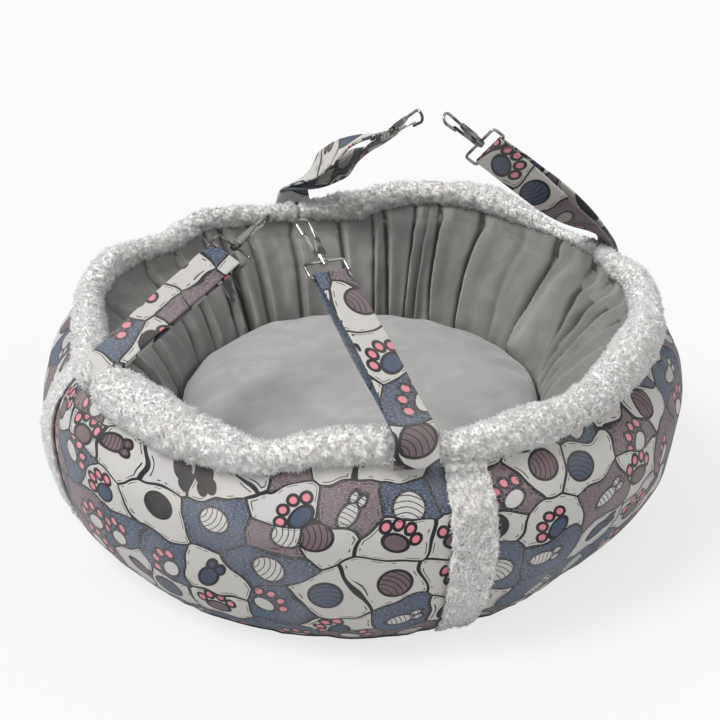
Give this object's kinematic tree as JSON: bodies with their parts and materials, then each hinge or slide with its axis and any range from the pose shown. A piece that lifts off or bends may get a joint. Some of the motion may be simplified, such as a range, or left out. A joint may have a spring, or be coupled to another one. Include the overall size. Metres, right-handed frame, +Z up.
{
  "type": "plush cat bed",
  "caption": "Round stuffed cat bed with a printed wall, a plush rim, a loose crowned cushion and hanging straps that end in wire rings and swivel snap hooks.",
  "frame": {"origin": "centre of the flat base, on the surface the bed stands on", "axes": "+Z up; -Y is the side with the front plush band, and the four bands lie on the X and Y axes"},
  "size_m": [0.516, 0.516, 0.3041],
  "materials": {
    "printed_cotton": "printed woven cotton, matt",
    "printed_strap": "printed woven cotton, matt",
    "rim_plush": "curly cream plush",
    "band_plush": "short cream plush",
    "polyester_stuffing": "loose polyester fibre",
    "brushed_lining": "brushed grey cloth",
    "cushion_velvet": "mottled pale grey velvet",
    "base_cloth": "dark non-slip woven cloth",
    "nickel_plate": "polished nickel plate"
  },
  "bodies": {
    "root": {"base_cloth": "base_cloth", "base_padding": "polyester_stuffing", "floor_lining": "brushed_lining", "inner_lining": "brushed_lining", "outer_panel_back_corner": "printed_cotton", "outer_panel_front_corner": "printed_cotton", "outer_panel_left_corner": "printed_cotton", "outer_panel_right_corner": "printed_cotton", "plush_band_back": "band_plush", "plush_band_front": "band_plush", "plush_band_left": "band_plush", "plush_band_right": "band_plush", "rim_filling_back_to_left": "polyester_stuffing", "rim_filling_front_to_right": "polyester_stuffing", "rim_filling_left_to_front": "polyester_stuffing", "rim_filling_right_to_back": "polyester_stuffing", "rim_roll_back_to_left": "rim_plush", "rim_roll_front_to_right": "rim_plush", "rim_roll_left_to_front": "rim_plush", "rim_roll_right_to_back": "rim_plush", "strap_anchor_back": "printed_strap", "strap_anchor_front": "printed_strap", "strap_anchor_left": "printed_strap", "strap_anchor_right": "printed_strap", "wall_filling_back_corner": "polyester_stuffing", "wall_filling_front_corner": "polyester_stuffing", "wall_filling_left_corner": "polyester_stuffing", "wall_filling_right_corner": "polyester_stuffing"},
    "cushion": {"cushion_cover": "cushion_velvet", "cushion_filling": "polyester_stuffing"},
    "strap_front": {"strap_front": "printed_strap"},
    "ring_front": {"wire_ring_front": "nickel_plate"},
    "hook_front": {"hook_body_front": "nickel_plate", "swivel_rivet_front": "nickel_plate"},
    "gate_front": {"gate_leaf_front": "nickel_plate"},
    "strap_left": {"strap_left": "printed_strap"},
    "ring_left": {"wire_ring_left": "nickel_plate"},
    "hook_left": {"hook_body_left": "nickel_plate", "swivel_rivet_left": "nickel_plate"},
    "gate_left": {"gate_leaf_left": "nickel_plate"},
    "strap_back": {"strap_back": "printed_strap"},
    "ring_back": {"wire_ring_back": "nickel_plate"},
    "hook_back": {"hook_body_back": "nickel_plate", "swivel_rivet_back": "nickel_plate"},
    "gate_back": {"gate_leaf_back": "nickel_plate"},
    "strap_right": {"strap_right": "printed_strap"},
    "ring_right": {"wire_ring_right": "nickel_plate"},
    "hook_right": {"hook_body_right": "nickel_plate", "swivel_rivet_right": "nickel_plate"},
    "gate_right": {"gate_leaf_right": "nickel_plate"}
  },
  "joints": [
    {"name": "cushion_lift", "type": "slide", "parent": "root", "child": "cushion", "axis": [0, 0, 1], "range_m": [0, 0.06]},
    {"name": "strap_swing_front", "type": "hinge", "parent": "root", "child": "strap_front", "pos_m": [-0.03598, -0.22717, 0.178], "axis": [0.9848, 0.1736, 0], "range_deg": [-21, 186]},
    {"name": "ring_tilt_front", "type": "hinge", "parent": "strap_front", "child": "ring_front", "pos_m": [-0.05724, -0.10658, 0.24587], "axis": [0.9737, 0.2146, -0.0762], "range_deg": [-75, 75]},
    {"name": "hook_swivel_front", "type": "hinge", "parent": "ring_front", "child": "hook_front", "pos_m": [-0.05922, -0.09538, 0.25218], "axis": [-0.1519, 0.8613, 0.4848], "continuous": true},
    {"name": "gate_flex_front", "type": "hinge", "parent": "hook_front", "child": "gate_front", "pos_m": [-0.06297, -0.09075, 0.25535], "axis": [-0.1697, 0.4605, -0.8713], "range_deg": [0, 12], "stiffness_Nm_per_rad": 0.05},
    {"name": "strap_swing_left", "type": "hinge", "parent": "root", "child": "strap_left", "pos_m": [-0.22053, -0.06532, 0.178], "axis": [0.5225, -0.8526, 0], "range_deg": [-10, 197]},
    {"name": "ring_tilt_left", "type": "hinge", "parent": "strap_left", "child": "ring_left", "pos_m": [-0.107, 0.00425, 0.22126], "axis": [0.5849, -0.7045, -0.4019], "range_deg": [-75, 75]},
    {"name": "hook_swivel_left", "type": "hinge", "parent": "ring_left", "child": "hook_left", "pos_m": [-0.09646, 0.01071, 0.22528], "axis": [0.8109, 0.4969, 0.309], "continuous": true},
    {"name": "gate_flex_left", "type": "hinge", "parent": "hook_left", "child": "gate_left", "pos_m": [-0.09146, 0.01521, 0.22467], "axis": [0.5849, -0.7045, -0.4019], "range_deg": [0, 12], "stiffness_Nm_per_rad": 0.05},
    {"name": "strap_swing_back", "type": "hinge", "parent": "root", "child": "strap_back", "pos_m": [0.01404, 0.22957, 0.178], "axis": [-0.91, -0.4147, 0], "range_deg": [-26, 181]},
    {"name": "ring_tilt_back", "type": "hinge", "parent": "strap_back", "child": "ring_back", "pos_m": [0.06217, 0.12396, 0.25629], "axis": [-0.91, -0.4147, 0], "range_deg": [-75, 75]},
    {"name": "hook_swivel_back", "type": "hinge", "parent": "ring_back", "child": "hook_back", "pos_m": [0.06664, 0.11415, 0.26356], "axis": [0.3438, -0.7544, 0.5592], "continuous": true},
    {"name": "gate_flex_back", "type": "hinge", "parent": "hook_back", "child": "gate_back", "pos_m": [0.06941, 0.10807, 0.26456], "axis": [-0.91, -0.4147, 0], "range_deg": [0, 12], "stiffness_Nm_per_rad": 0.05},
    {"name": "strap_swing_right", "type": "hinge", "parent": "root", "child": "strap_right", "pos_m": [0.22747, 0.034, 0.178], "axis": [-0.0087, 1, 0], "range_deg": [-32, 175]},
    {"name": "ring_tilt_right", "type": "hinge", "parent": "strap_right", "child": "ring_right", "pos_m": [0.12023, 0.03306, 0.26799], "axis": [-0.6231, 0.2534, -0.7399], "range_deg": [-75, 75]},
    {"name": "hook_swivel_right", "type": "hinge", "parent": "ring_right", "child": "hook_right", "pos_m": [0.11027, 0.03297, 0.27635], "axis": [-0.766, -0.0067, 0.6428], "continuous": true},
    {"name": "gate_flex_right", "type": "hinge", "parent": "hook_right", "child": "gate_right", "pos_m": [0.1043, 0.03087, 0.2787], "axis": [-0.4607, 0.7031, -0.5417], "range_deg": [0, 12], "stiffness_Nm_per_rad": 0.05}
  ]
}
